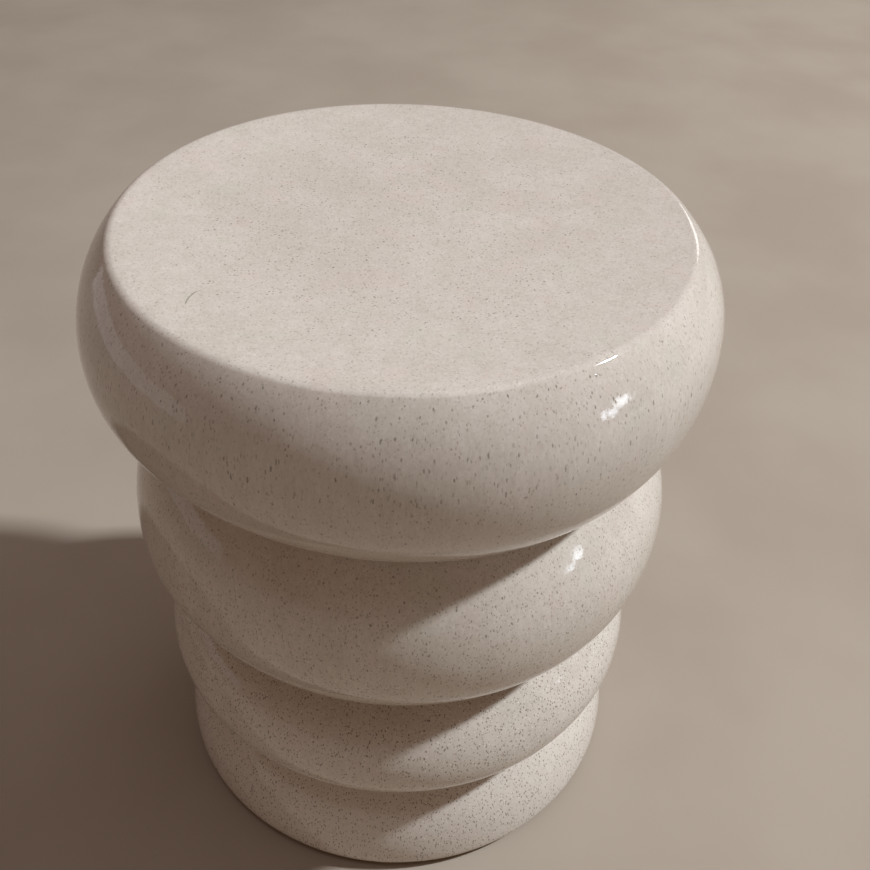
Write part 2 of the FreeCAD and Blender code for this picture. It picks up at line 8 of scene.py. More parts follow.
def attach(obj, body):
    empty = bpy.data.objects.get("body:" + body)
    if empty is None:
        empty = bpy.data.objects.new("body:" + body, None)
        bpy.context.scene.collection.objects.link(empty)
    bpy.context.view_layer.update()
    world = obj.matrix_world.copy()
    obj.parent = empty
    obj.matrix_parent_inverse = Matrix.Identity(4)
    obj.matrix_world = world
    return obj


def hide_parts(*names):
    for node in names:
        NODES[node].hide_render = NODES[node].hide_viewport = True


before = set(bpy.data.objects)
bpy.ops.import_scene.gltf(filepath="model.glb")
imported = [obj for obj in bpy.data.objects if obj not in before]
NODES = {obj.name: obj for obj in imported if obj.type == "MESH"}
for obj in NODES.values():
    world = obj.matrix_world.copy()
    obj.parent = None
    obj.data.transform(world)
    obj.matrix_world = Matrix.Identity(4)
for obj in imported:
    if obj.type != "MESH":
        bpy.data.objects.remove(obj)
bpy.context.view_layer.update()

# ------------------------------------------------------------------ the form
# The same dimensions as the construction, in millimetres.
GLAZE, WALL, LAND = 0.7, 8.0, 7.0
HEIGHT, DISH, FLAT_R, CREST_R, ROUND, SEAM_Z = 450.0, 5.0, 60.0, 173.3, 7.0, 433.0
APEX = {"a": (201.1, 392.8), "b": (186.8, 245.3), "c": (176.6, 122.4), "d": (173.3, 12.0)}
CREASE = {"ab": (154.8, 318.2), "bc": (138.0, 176.0), "cd": (138.9, 84.4)}
FOOT_R, OPEN_R, FOOT_ROUND, OPEN_ROUND, LINE_Z = 167.0, 125.0, 1.5, 3.0, 4.0
COIL_HALF, COIL_BULGE, LEG, HOLLOW = 4.0, 4.0, 8.0, 24.0
POOL = {"ab": 2.8, "bc": 5.0, "cd": 4.7}


def bulge(apex, crease):
    dr, dz = apex[0] - crease[0], crease[1] - apex[1]
    rho = (dr * dr + dz * dz) / (2.0 * dr)
    return (apex[0] - rho, apex[1]), rho


LOW = {"a": bulge(APEX["a"], CREASE["ab"]), "b": bulge(APEX["b"], CREASE["bc"]),
       "c": bulge(APEX["c"], CREASE["cd"]), "d": bulge(APEX["d"], (FOOT_R, 0.0))}
UP = {"b": bulge(APEX["b"], CREASE["ab"]), "c": bulge(APEX["c"], CREASE["bc"]),
      "d": bulge(APEX["d"], CREASE["cd"])}
RIM_C, RIM_R = (CREST_R, HEIGHT - ROUND), ROUND - GLAZE
_r, _z = APEX["a"][0] - RIM_C[0], RIM_C[1] - APEX["a"][1]
SIDE_R = (_r * _r + _z * _z - RIM_R * RIM_R) / (2.0 * (_r - RIM_R))
SIDE_C = (APEX["a"][0] - SIDE_R, APEX["a"][1])
_k = RIM_R / math.dist(RIM_C, SIDE_C)
RIM_END = (RIM_C[0] + (RIM_C[0] - SIDE_C[0]) * _k, RIM_C[1] + (RIM_C[1] - SIDE_C[1]) * _k)
DISH_Z = HEIGHT - DISH - GLAZE
_r, _z = RIM_C[0] - FLAT_R, DISH_Z - RIM_C[1]
DISH_R = (_r * _r + _z * _z - RIM_R * RIM_R) / (2.0 * (RIM_R - _z))
DISH_C = (FLAT_R, DISH_Z + DISH_R)
_k = RIM_R / math.dist(RIM_C, DISH_C)
DISH_END = (RIM_C[0] + (DISH_C[0] - RIM_C[0]) * _k, RIM_C[1] + (DISH_C[1] - RIM_C[1]) * _k)


def on_r(arc, r, sign, inset=0.0):
    (cr, cz), rho = arc
    return cz + sign * math.sqrt((rho - inset) ** 2 - (r - cr) ** 2)


def on_z(arc, z, inset=0.0):
    (cr, cz), rho = arc
    return cr + math.sqrt((rho - inset) ** 2 - (z - cz) ** 2)


SIDE = (SIDE_C, SIDE_R)


def line(p, q, step):
    n = max(1, int(math.ceil(math.dist(p, q) / step)))
    return [(p[0] + (q[0] - p[0]) * i / n, p[1] + (q[1] - p[1]) * i / n) for i in range(n + 1)]


def arc(centre, p, q, step, most_deg=7.0):
    """Points the short way round from p to q, the radius easing between theirs."""
    ra, rb = math.dist(p, centre), math.dist(q, centre)
    ta = math.atan2(p[1] - centre[1], p[0] - centre[0])
    tb = math.atan2(q[1] - centre[1], q[0] - centre[0])
    turn = (tb - ta + math.pi) % (2 * math.pi) - math.pi
    n = max(2, int(math.ceil(abs(turn) * max(ra, rb) / step)),
            int(math.ceil(abs(math.degrees(turn)) / most_deg)))
    out = []
    for i in range(n + 1):
        f = i / n
        r, t = ra + (rb - ra) * f, ta + turn * f
        out.append((centre[0] + r * math.cos(t), centre[1] + r * math.sin(t)))
    return out


def join(*runs):
    out = list(runs[0])
    for run in runs[1:]:
        out += run[1:] if math.dist(out[-1], run[0]) < 1e-4 else run
    return out


def crossing(arc_a, arc_b, off, near):
    (ca, ra), (cb, rb) = arc_a, arc_b
    ra, rb = ra + off, rb + off
    d = math.dist(ca, cb)
    a = (ra * ra - rb * rb + d * d) / (2.0 * d)
    h = math.sqrt(max(ra * ra - a * a, 0.0))
    ux, uz = (cb[0] - ca[0]) / d, (cb[1] - ca[1]) / d
    both = [(ca[0] + a * ux - s * h * uz, ca[1] + a * uz + s * h * ux) for s in (1, -1)]
    return min(both, key=lambda p: math.dist(p, near))


def coat(off, step, fine, pool):
    """The surface over the clay at a distance off, from the axis down to the glaze line.

    With pool, each crease is rounded by the glaze that ran into it.
    """
    k = (RIM_R + off) / RIM_R
    rim_end = (RIM_C[0] + (RIM_END[0] - RIM_C[0]) * k, RIM_C[1] + (RIM_END[1] - RIM_C[1]) * k)
    dish_end = (RIM_C[0] + (DISH_END[0] - RIM_C[0]) * k, RIM_C[1] + (DISH_END[1] - RIM_C[1]) * k)
    over = {q: (v[0] + off, v[1]) for q, v in APEX.items()}
    runs = [line((0.0, DISH_Z + off), (FLAT_R, DISH_Z + off), step * 1.6),
            arc(DISH_C, (FLAT_R, DISH_Z + off), dish_end, step * 1.2),
            arc(RIM_C, dish_end, rim_end, fine),
            arc(SIDE_C, rim_end, over["a"], step)]
    keys, at = "abcd", over["a"]
    for i, (up, low) in enumerate(zip(keys[:-1], keys[1:])):
        v = crossing(LOW[up], UP[low], off, CREASE[up + low])
        down, under = arc(LOW[up][0], at, v, step), arc(UP[low][0], v, over[low], step)
        if pool:
            down, under = round_corner(down, under, v, POOL[up + low])
        runs += [down, under]
        at = over[low]
    end = (on_z((LOW["d"][0], LOW["d"][1] + off), LINE_Z), LINE_Z)
    runs.append(arc(LOW["d"][0], at, end, step * 0.5))
    return join(*runs)


def cut(run, v, reach):
    """The points of a run farther than 1.25 times reach from v."""
    keep = [p for p in run if math.dist(p, v) > reach * 1.25]
    return keep


def round_corner(down, under, v, reach):
    a, b = cut(down, v, reach), cut(under, v, reach)

    def at(run, last):
        p = run[-1] if last else run[0]
        k = reach / math.dist(p, v)
        # a point on the arc near the corner, by its chord: under 0.02 mm off
        return (v[0] + (p[0] - v[0]) * k, v[1] + (p[1] - v[1]) * k)

    pa, pb = at(a, True), at(b, False)
    curve = []
    for i in range(7):
        t = i / 6
        curve.append(tuple(pa[j] * (1 - t) ** 2 + v[j] * 2 * t * (1 - t) + pb[j] * t * t for j in (0, 1)))
    return a + curve, [curve[-1]] + b


# --------------------------------------------------------------- unevenness
def fade(t):
    return t * t * t * (t * (t * 6 - 15) + 10)


_rs = np.random.RandomState(41)
_perm = np.concatenate([_rs.permutation(256)] * 3)
_grad = _rs.normal(size=(256, 3))
_grad /= np.linalg.norm(_grad, axis=1)[:, None]


def noise3(p):
    """Gradient noise of points (n, 3), about -0.7 to 0.7."""
    i = np.floor(p).astype(int)
    f = p - i
    i &= 255
    u = fade(f)
    out = 0.0
    for dx in (0, 1):
        wx = u[:, 0] if dx else 1 - u[:, 0]
        for dy in (0, 1):
            wy = u[:, 1] if dy else 1 - u[:, 1]
            for dz in (0, 1):
                wz = u[:, 2] if dz else 1 - u[:, 2]
                h = _perm[_perm[_perm[i[:, 0] + dx] + i[:, 1] + dy] + i[:, 2] + dz]
                g = _grad[h & 255]
                d = (f - np.array([dx, dy, dz])) * g
                out = out + wx * wy * wz * d.sum(1)
    return out


def ease(z, knots, values):
    """Smooth curve through knots, level at each one that turns."""
    knots, values = np.array(knots, float), np.array(values, float)
    h = np.diff(knots)
    d = np.diff(values) / h
    m = np.zeros(len(knots))
    for i in range(1, len(knots) - 1):
        if d[i - 1] * d[i] > 0:
            w1, w2 = 2 * h[i] + h[i - 1], h[i] + 2 * h[i - 1]
            m[i] = (w1 + w2) / (w1 / d[i - 1] + w2 / d[i])
    z = np.clip(z, knots[0], knots[-1])
    i = np.clip(np.searchsorted(knots, z) - 1, 0, len(knots) - 2)
    t = (z - knots[i]) / h[i]
    return ((1 + 2 * t) * (1 - t) ** 2 * values[i] + t * (1 - t) ** 2 * h[i] * m[i]
            + t * t * (3 - 2 * t) * values[i + 1] + t * t * (t - 1) * h[i] * m[i + 1])


def settle(p):
    """Where the made piece's clay lies for a point of the true form, both in mm.

    The sections were joined by hand: the creases tilt a little, and the rounds are
    out by a few tenths. Every piece goes through this, so they stay fitted.
    """
    x, y, z = p[:, 0], p[:, 1], p[:, 2]
    r, th = np.hypot(x, y), np.arctan2(y, x)
    tilt = ease(z, (0, 122, 176, 208, 245, 318, 393, 450), (0, 0, 1.8, 2.2, -0.6, 3.8, -1.6, 0)) / 100.0
    nod = ease(z, (0, 50, 102, 150, 208, 250, 450), (0, 0.6, 2.6, 1.2, 1.5, 0, 0)) / 100.0
    push = ease(z, (0, 122, 176, 245, 318, 393, 450), (0, 0, 0.1, 0.2, -0.4, -1.0, 0))
    wave = (0.34 * np.sin(2 * th + 0.7 + z / 170) + 0.22 * np.sin(3 * th - 1.1 - z / 120)
            + 0.12 * np.sin(5 * th + 2.0 + z / 80))
    out = np.clip(r / 170.0, 0, 1) ** 2 * (wave - 0.72) * np.clip(z / 30.0, 0.25, 1)
    # the widest part also gives back what the sideways push takes
    out -= np.clip(r / 170.0, 0, 1) ** 2 * np.abs(push)
    lift = np.clip((z - 400.0) / 45.0, 0, 1) * (r / 176.0) ** 2 * (
        0.28 * np.sin(2 * th + 2.4) + 0.16 * np.sin(3 * th + 0.3) - 0.48)
    k = 1.0 + out / np.maximum(r, 1e-6)
    return np.stack([x * k + push, y * k, z - tilt * x + nod * y + lift], 1)


# ------------------------------------------------------------------- meshes
def turned(name, profile, around, shift=None, attributes=None):
    """A closed solid turned from a closed profile, which runs anticlockwise seen
    with r to the right and z up, and may start and end on the axis.

    shift(points, index of the profile point, normal) gives an offset along the normal in mm.
    """
    prof = np.array(profile, float)
    on_axis = prof[:, 0] < 1e-6
    n = len(prof)
    th = np.arange(around) * (2 * math.pi / around)
    rows, verts, which = [], [], []
    # normal of the profile, outward
    loop = not on_axis.any()
    prev = np.roll(prof, 1, 0)
    nxt = np.roll(prof, -1, 0)
    if not loop:
        prev[0], nxt[-1] = prof[0], prof[-1]
    t = nxt - prev
    t /= np.maximum(np.linalg.norm(t, axis=1), 1e-9)[:, None]
    nrm = np.stack([t[:, 1], -t[:, 0]], 1)
    base, normal = [], []
    for i, (r, z) in enumerate(prof):
        if on_axis[i]:
            rows.append([len(base)])
            base.append((0.0, 0.0, z))
            normal.append((0.0, 0.0, 1.0 if nrm[i, 1] > 0 else -1.0))
            which.append(i)
            continue
        start = len(base)
        rows.append(list(range(start, start + around)))
        for a in th:
            c, s = math.cos(a), math.sin(a)
            base.append((r * c, r * s, z))
            normal.append((nrm[i, 0] * c, nrm[i, 0] * s, nrm[i, 1]))
            which.append(i)
    base, normal, which = np.array(base), np.array(normal), np.array(which)
    if shift is not None:
        base = base + normal * shift(base, which, normal)[:, None]
    made = settle(base) / 1000.0
    faces = []
    pairs = [(i, i + 1) for i in range(n - 1)] + ([(n - 1, 0)] if loop else [])
    for i, j in pairs:
        a, b = rows[i], rows[j]
        if len(a) == 1 and len(b) == 1:
            continue
        for k in range(around):
            m = (k + 1) % around
            if len(a) == 1:
                faces.append((a[0], b[k], b[m]))
            elif len(b) == 1:
                faces.append((a[k], b[0], a[m]))
            else:
                faces.append((a[k], b[k], b[m], a[m]))
    mesh = bpy.data.meshes.new(name)
    mesh.from_pydata([tuple(v) for v in made], [], faces)
    mesh.update()
    # outward faces
    co = np.array([v.co for v in mesh.vertices])
    vol = 0.0
    for f in mesh.polygons:
        v = f.vertices
        for q in range(1, len(v) - 1):
            vol += float(np.dot(co[v[0]], np.cross(co[v[q]], co[v[q + 1]]))) if len(mesh.polygons) < 1500 else 0.0
    if len(mesh.polygons) >= 1500:
        tri = np.array([(f[0], f[1], f[2]) for f in faces] + [(f[0], f[2], f[3]) for f in faces if len(f) == 4])
        vol = float(np.einsum("ij,ij->i", co[tri[:, 0]], np.cross(co[tri[:, 1]], co[tri[:, 2]])).sum())
    if vol < 0:
        mesh.flip_normals()
    for key, values in (attributes or {}).items():
        layer = mesh.attributes.new(key, "FLOAT", "POINT")
        layer.data.foreach_set("value", np.asarray(values, float)[which].astype(np.float32))
    mesh.polygons.foreach_set("use_smooth", [True] * len(mesh.polygons))
    mesh.update()
    obj = bpy.data.objects.new(name, mesh)
    bpy.context.scene.collection.objects.link(obj)
    return obj


def crisp(obj, degrees=38.0):
    """Edges sharper than this stay sharp."""
    mesh = obj.data
    mesh.set_sharp_from_angle(angle=math.radians(degrees))
    return obj


# ---------------------------------------------------------------- materials
def srgb(r, g, b):
    def f(v):
        v /= 255.0
        return v / 12.92 if v <= 0.04045 else ((v + 0.055) / 1.055) ** 2.4
    return (f(r), f(g), f(b), 1.0)


class Nodes:
    """Short hand for a material's node tree."""

    def __init__(self, name):
        self.mat = bpy.data.materials.new(name)
        self.mat.use_nodes = True
        self.tree = self.mat.node_tree
        self.tree.nodes.clear()
        self.out = self.tree.nodes.new("ShaderNodeOutputMaterial")
        self.bsdf = self.tree.nodes.new("ShaderNodeBsdfPrincipled")
        self.link(self.bsdf.outputs[0], self.out.inputs["Surface"])
        where = self.tree.nodes.new("ShaderNodeTexCoord")
        scale = self.tree.nodes.new("ShaderNodeVectorMath")
        scale.operation = "SCALE"
        scale.inputs["Scale"].default_value = 1000.0
        self.link(where.outputs["Object"], scale.inputs[0])
        self.mm = scale.outputs[0]
        part = self.tree.nodes.new("ShaderNodeSeparateXYZ")
        self.link(self.mm, part.inputs[0])
        self.x, self.y, self.z = part.outputs

    def link(self, a, b):
        self.tree.links.new(a, b)

    def put(self, socket, value):
        if isinstance(value, bpy.types.NodeSocket):
            self.link(value, socket)
        else:
            socket.default_value = value

    def math(self, op, a, b=None, c=None, clamp=False):
        n = self.tree.nodes.new("ShaderNodeMath")
        n.operation, n.use_clamp = op, clamp
        for s, v in zip(n.inputs, (a, b, c)):
            if v is not None:
                self.put(s, v)
        return n.outputs[0]

    def vec(self, op, a, b=None):
        n = self.tree.nodes.new("ShaderNodeVectorMath")
        n.operation = op
        self.put(n.inputs[0], a)
        if b is not None:
            self.put(n.inputs[1], b)
        return n.outputs["Value"] if op in ("LENGTH", "DISTANCE", "DOT_PRODUCT") else n.outputs[0]

    def noise(self, vector, scale, detail=2.0, rough=0.5, colour=False, distortion=0.0):
        n = self.tree.nodes.new("ShaderNodeTexNoise")
        self.link(vector, n.inputs["Vector"])
        n.inputs["Scale"].default_value = scale
        n.inputs["Detail"].default_value = detail
        n.inputs["Roughness"].default_value = rough
        n.inputs["Distortion"].default_value = distortion
        return n.outputs["Color" if colour else 0]

    def cells(self, vector, scale, feature="F1"):
        n = self.tree.nodes.new("ShaderNodeTexVoronoi")
        n.feature = feature
        self.link(vector, n.inputs["Vector"])
        n.inputs["Scale"].default_value = scale
        return n.outputs["Distance"], n.outputs["Color"]

    def split(self, colour):
        n = self.tree.nodes.new("ShaderNodeSeparateColor")
        self.link(colour, n.inputs[0])
        return n.outputs[0], n.outputs[1], n.outputs[2]

    def ramp(self, value, lo, hi, to_lo=0.0, to_hi=1.0, smooth=True):
        n = self.tree.nodes.new("ShaderNodeMapRange")
        n.interpolation_type = "SMOOTHSTEP" if smooth else "LINEAR"
        for key, v in (("Value", value), ("From Min", lo), ("From Max", hi), ("To Min", to_lo), ("To Max", to_hi)):
            self.put(n.inputs[key], v)
        return n.outputs[0]

    def mix(self, factor, a, b, kind="MIX"):
        n = self.tree.nodes.new("ShaderNodeMix")
        n.data_type, n.blend_type = "RGBA", kind
        n.clamp_factor = True
        self.put(n.inputs[0], factor)
        self.put(n.inputs[6], a)
        self.put(n.inputs[7], b)
        return n.outputs[2]

    def bump(self, height, distance, strength=1.0, over=None):
        n = self.tree.nodes.new("ShaderNodeBump")
        n.inputs["Distance"].default_value = distance
        n.inputs["Strength"].default_value = strength
        self.link(height, n.inputs["Height"])
        if over is not None:
            self.link(over, n.inputs["Normal"])
        return n.outputs[0]

    def attribute(self, key):
        n = self.tree.nodes.new("ShaderNodeAttribute")
        n.attribute_name = key
        return n.outputs["Fac"]


def speck_layer(m, vector, scale, size, spread, edge, share):
    """Round grains: 1 inside, 0 outside. Sizes are in cells; share is how many cells hold one."""
    dist, colour = m.cells(vector, scale)
    r, g, b = m.split(colour)
    reach = m.math("MULTIPLY_ADD", r, spread, size)
    inner = m.math("SUBTRACT", reach, edge)
    grain = m.ramp(dist, reach, inner)
    there = m.math("LESS_THAN", g, share)
    return m.math("MULTIPLY", grain, there), b


def glaze_material():
    m = Nodes("speckled_glaze")
    # The grains ran a little with the molten glaze, so they are taller than wide.
    wobble = m.noise(m.mm, 0.55, 2.0, 0.6, colour=True)
    wobble = m.vec("SUBTRACT", wobble, (0.5, 0.5, 0.5))
    wobble = m.vec("MULTIPLY", wobble, (1.1, 1.1, 1.6))
    moved = m.vec("ADD", m.mm, wobble)
    run = m.vec("MULTIPLY", moved, (1.0, 1.0, 0.5))
    # on the shoulder of the top bulge they ran furthest
    above = m.math("MAXIMUM", m.math("SUBTRACT", m.z, 398.0), 0.0)
    lift = m.tree.nodes.new("ShaderNodeCombineXYZ")
    m.link(m.math("MULTIPLY", above, -0.23), lift.inputs[2])
    run = m.vec("ADD", run, lift.outputs[0])
    on_seat = m.ramp(m.z, 442.0, 447.0)
    seat_xy = m.ramp(m.vec("LENGTH", m.vec("MULTIPLY", m.mm, (1.0, 1.0, 0.0))), 176.0, 168.0)
    seat = m.math("MULTIPLY", on_seat, seat_xy)
    low = m.ramp(m.z, 338.0, 140.0, smooth=False)

    # clouds of more and fewer grains
    cloud = m.noise(m.mm, 0.021, 2.0, 0.5)
    share_big = m.ramp(cloud, 0.3, 0.7, 0.50, 0.80, smooth=False)

    big, tone_a = speck_layer(m, run, 0.33, 0.12, 0.14, 0.08, share_big)
    mid, tone_b = speck_layer(m, run, 0.50, 0.20, 0.14, 0.12, 0.72)
    tiny, tone_c = speck_layer(m, run, 0.66, 0.20, 0.16, 0.14, 0.60)
    pale, tone_d = speck_layer(m, moved, 0.56, 0.18, 0.14, 0.12, 0.50)

    # body colour: warm white, clouded, streaked down the sides
    clouds = m.noise(m.mm, 0.028, 3.0, 0.55)
    streak = m.noise(m.vec("MULTIPLY", m.mm, (1.0, 1.0, 0.12)), 0.16, 3.0, 0.6)
    fine = m.noise(m.mm, 0.75, 3.0, 0.65)
    a = m.mix(m.ramp(clouds, 0.30, 0.70), srgb(212, 204, 194), srgb(220, 212, 203))
    a = m.mix(m.math("MULTIPLY", m.ramp(streak, 0.35, 0.72), 0.28), a, srgb(196, 186, 174))
    a = m.mix(m.math("MULTIPLY", m.ramp(fine, 0.42, 0.75), 0.30), a, srgb(190, 179, 167))
    # pooled glaze in the creases is greyer
    pool = m.attribute("pool")
    a = m.mix(m.math("MULTIPLY", pool, 0.45), a, srgb(180, 170, 158))
    # the glaze broke into short runs, a little darker or paler than their surroundings
    runs = m.noise(m.vec("MULTIPLY", run, (1.0, 1.0, 0.55)), 0.62, 3.0, 0.62)
    a = m.mix(m.math("MULTIPLY", m.ramp(runs, 0.50, 0.78), 0.42), a, srgb(182, 170, 158))
    a = m.mix(m.math("MULTIPLY", m.ramp(runs, 0.50, 0.24), 0.40), a, srgb(232, 226, 219))
    tint = m.noise(m.mm, 0.035, 2.0, 0.5)
    a = m.mix(m.math("MULTIPLY", m.ramp(tint, 0.52, 0.70), 0.16), a, srgb(214, 196, 190))
    a = m.mix(m.math("MULTIPLY", m.ramp(tint, 0.48, 0.30), 0.14), a, srgb(198, 200, 186))
    # a little greyer on the sides of the top bulge, whiter towards the foot
    sides = m.math("MULTIPLY", m.ramp(m.z, 325.0, 350.0), m.math("SUBTRACT", 1.0, seat))
    a = m.mix(m.math("MULTIPLY", sides, 0.12), a, srgb(168, 158, 148))
    a = m.mix(m.math("MULTIPLY", m.ramp(m.z, 190.0, 60.0), 0.30), a, srgb(240, 235, 228))
    # grains
    dark = srgb(78, 62, 50)
    brown = srgb(110, 90, 72)
    strength = m.math("SUBTRACT", 1.0, m.math("MULTIPLY", seat, 0.10))
    light = m.math("MULTIPLY", pale, m.math("MULTIPLY_ADD", low, 0.80, 0.18))
    a = m.mix(light, a, srgb(248, 243, 235))
    t = m.math("MULTIPLY", tiny, m.math("MULTIPLY_ADD", low, 0.70, 0.22))
    a = m.mix(t, a, brown)
    t = m.math("MULTIPLY", mid, m.math("MULTIPLY", strength, m.math("MULTIPLY_ADD", tone_b, 0.30, m.math("MULTIPLY_ADD", low, 0.38, 0.20))))
    a = m.mix(t, a, brown)
    t = m.math("MULTIPLY", big, m.math("MULTIPLY", strength, m.math("MULTIPLY_ADD", tone_a, 0.32, 0.25)))
    a = m.mix(t, a, dark)
    # one fine curved hairline in the glaze of the seat
    arc = m.vec("LENGTH", m.vec("MULTIPLY", m.vec("SUBTRACT", m.mm, (-93.3, -96.2, 0.0)), (1.0, 1.0, 0.0)))
    off = m.math("ABSOLUTE", m.math("SUBTRACT", arc, m.math("MULTIPLY_ADD", fine, 0.5, 21.9)))
    hair = m.math("MULTIPLY", m.ramp(off, 0.62, 0.16), seat)
    hair = m.math("MULTIPLY", hair, m.math("MULTIPLY", m.ramp(m.y, -99.5, -96.0), m.ramp(m.y, -82.0, -85.5)))
    hair = m.math("MULTIPLY", hair, m.math("LESS_THAN", m.x, -108.0))
    a = m.mix(m.math("MULTIPLY", hair, 0.58), a, srgb(104, 94, 88))
    m.link(a, m.bsdf.inputs["Base Color"])

    # gloss: a smooth glass surface, duller in faint patches
    dull = m.noise(m.mm, 0.045, 3.0, 0.6)
    rough = m.ramp(dull, 0.35, 0.75, 0.03, 0.085)
    rough = m.math("MULTIPLY_ADD", fine, 0.02, rough)
    m.link(rough, m.bsdf.inputs["Roughness"])
    m.bsdf.inputs["IOR"].default_value = 1.52
    # surface: slow waves, orange peel, and grains that stand a little proud
    wave = m.noise(m.mm, 0.10, 2.0, 0.45)
    peel = m.noise(m.mm, 0.30, 2.0, 0.5)
    n = m.bump(wave, 0.00016)
    n = m.bump(peel, 0.000040, over=n)
    n = m.bump(big, 0.000035, over=n)
    m.link(n, m.bsdf.inputs["Normal"])
    return m.mat


def clay_material(name, base, deep, pale, rough_lo, rough_hi, tooth, scrape=0.0):
    m = Nodes(name)
    clouds = m.noise(m.mm, 0.022, 4.0, 0.6)
    a = m.mix(m.ramp(clouds, 0.3, 0.7), base, deep)
    fine = m.noise(m.mm, 0.5, 4.0, 0.7)
    a = m.mix(m.math("MULTIPLY", m.ramp(fine, 0.4, 0.75), 0.5), a, pale)
    grog, tone = speck_layer(m, m.mm, 0.42, 0.10, 0.16, 0.06, 0.55)
    a = m.mix(m.math("MULTIPLY", grog, m.math("MULTIPLY_ADD", tone, 0.5, 0.25)), a, srgb(112, 84, 60))
    sand, tone = speck_layer(m, m.mm, 0.8, 0.14, 0.18, 0.08, 0.5)
    a = m.mix(m.math("MULTIPLY", sand, 0.45), a, srgb(222, 204, 176))
    m.link(a, m.bsdf.inputs["Base Color"])
    m.link(m.ramp(fine, 0.25, 0.75, rough_lo, rough_hi), m.bsdf.inputs["Roughness"])
    m.bsdf.inputs["IOR"].default_value = 1.45
    grit = m.noise(m.mm, 1.3, 3.0, 0.7)
    n = m.bump(grit, tooth)
    n = m.bump(grog, tooth * 0.6, over=n)
    if scrape:
        # circular marks of the rib or the grinding wheel
        radius = m.vec("LENGTH", m.vec("MULTIPLY", m.mm, (1.0, 1.0, 0.0)))
        flat = m.tree.nodes.new("ShaderNodeCombineXYZ")
        m.link(radius, flat.inputs[0])
        m.link(m.math("MULTIPLY", m.math("ARCTAN2", m.y, m.x), 3.0), flat.inputs[1])
        marks = m.noise(flat.outputs[0], 0.9, 3.0, 0.6)
        n = m.bump(marks, scrape, over=n)
    m.link(n, m.bsdf.inputs["Normal"])
    return m.mat


GLAZE_MAT = glaze_material()
CLAY_MAT = clay_material("bare_stoneware", srgb(186, 160, 128), srgb(168, 142, 112), srgb(198, 176, 146), 0.78, 0.95, 0.00010, 0.00012)
COIL_MAT = clay_material("luting_clay", srgb(178, 150, 118), srgb(160, 133, 103), srgb(192, 168, 138), 0.66, 0.88, 0.00007)
FOOT_MAT = clay_material("ground_foot", srgb(176, 152, 122), srgb(156, 132, 104), srgb(192, 172, 144), 0.72, 0.90, 0.00006, 0.00010)

# ------------------------------------------------------------------- pieces
made = []


def place(obj, mat, slot, *nodes):
    obj.data.materials.clear()
    obj.data.materials.append(mat)
    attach(obj, "root")
    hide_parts(*nodes)
    made.append(obj)
    return obj


def still(points, which, normal):
    return np.zeros(len(points))


# Glaze: the outside of the coat down to the glaze line, then its inside back up.
outside = coat(GLAZE, 4.6, 0.75, True)
inside = coat(0.0, 12.0, 3.0, False)
edge_out, edge_in = outside[-1], inside[-1]
mid_edge = ((edge_out[0] + edge_in[0]) / 2, LINE_Z)
glaze_profile = inside[:] + [mid_edge] + outside[::-1]
count_in = len(inside) + 1
V_AB, V_BC, V_CD = (crossing(LOW[a], UP[b], GLAZE, CREASE[a + b]) for a, b in ("ab", "bc", "cd"))
pool = []
for i, p in enumerate(glaze_profile):
    near = min(math.dist(p, v) for v in (V_AB, V_BC, V_CD))
    pool.append(math.exp(-(near / 5.0) ** 2) if i >= count_in else 0.0)


def glaze_skin(points, which, normal):
    """The molten surface: slow waves, always inside the true outline."""
    outer = (which >= count_in).astype(float)
    slow = noise3(points / 34.0 + 11.3)
    quick = noise3(points / 13.0 - 4.7)
    sag = noise3(points * np.array([1 / 26.0, 1 / 26.0, 1 / 90.0]) + 31.0)
    amount = 0.16 * slow + 0.035 * quick + 0.08 * sag - 0.16
    seat = np.clip((points[:, 2] - 441.0) / 4.0, 0, 1)
    return outer * amount * (1.0 - 0.45 * seat)


glaze = turned("glaze_skin", glaze_profile, 336, glaze_skin, {"pool": pool})
crisp(glaze, 55.0)
place(glaze, GLAZE_MAT, "speckled_glaze", "glaze_coat")


def rings(depth, pitch, faces):
    """Throwing rings on the inner faces, always cut into the clay."""
    def f(points, which, normal):
        on = np.isin(which, faces).astype(float)
        th = np.arctan2(points[:, 1], points[:, 0])
        turn = points[:, 2] / pitch * 2 * math.pi + th
        n = noise3(points / 21.0 + 3.1)
        return -on * (depth * (0.5 + 0.5 * np.cos(turn + 1.5 * n)) + 0.35 * (n + 0.7))
    return f


def clay_part(name, runs, around, mat, slot, node, inner_runs=(), depth=0.45, pitch=7.0, angle=32.0):
    prof, faces = [], []
    for k, run in enumerate(runs):
        pts = run[:-1]
        if k in inner_runs:
            faces += list(range(len(prof) + 1, len(prof) + len(pts)))
        prof += pts
    last = runs[-1][-1]
    if math.dist(last, prof[0]) > 1e-4:
        prof.append(last)
    obj = turned(name, prof, around, rings(depth, pitch, faces) if faces else None)
    crisp(obj, angle)
    return place(obj, mat, slot, node)


# seat slab: the dished top lies under the glaze, the flat underside is scraped
seam_out = (on_z(SIDE, SEAM_Z), SEAM_Z)
prof = join(line((0.0, SEAM_Z), seam_out, 6.0), arc(SIDE_C, seam_out, RIM_END, 4.0),
            arc(RIM_C, RIM_END, DISH_END, 2.5), arc(DISH_C, DISH_END, (FLAT_R, DISH_Z), 9.0),
            line((FLAT_R, DISH_Z), (0.0, DISH_Z), 12.0))


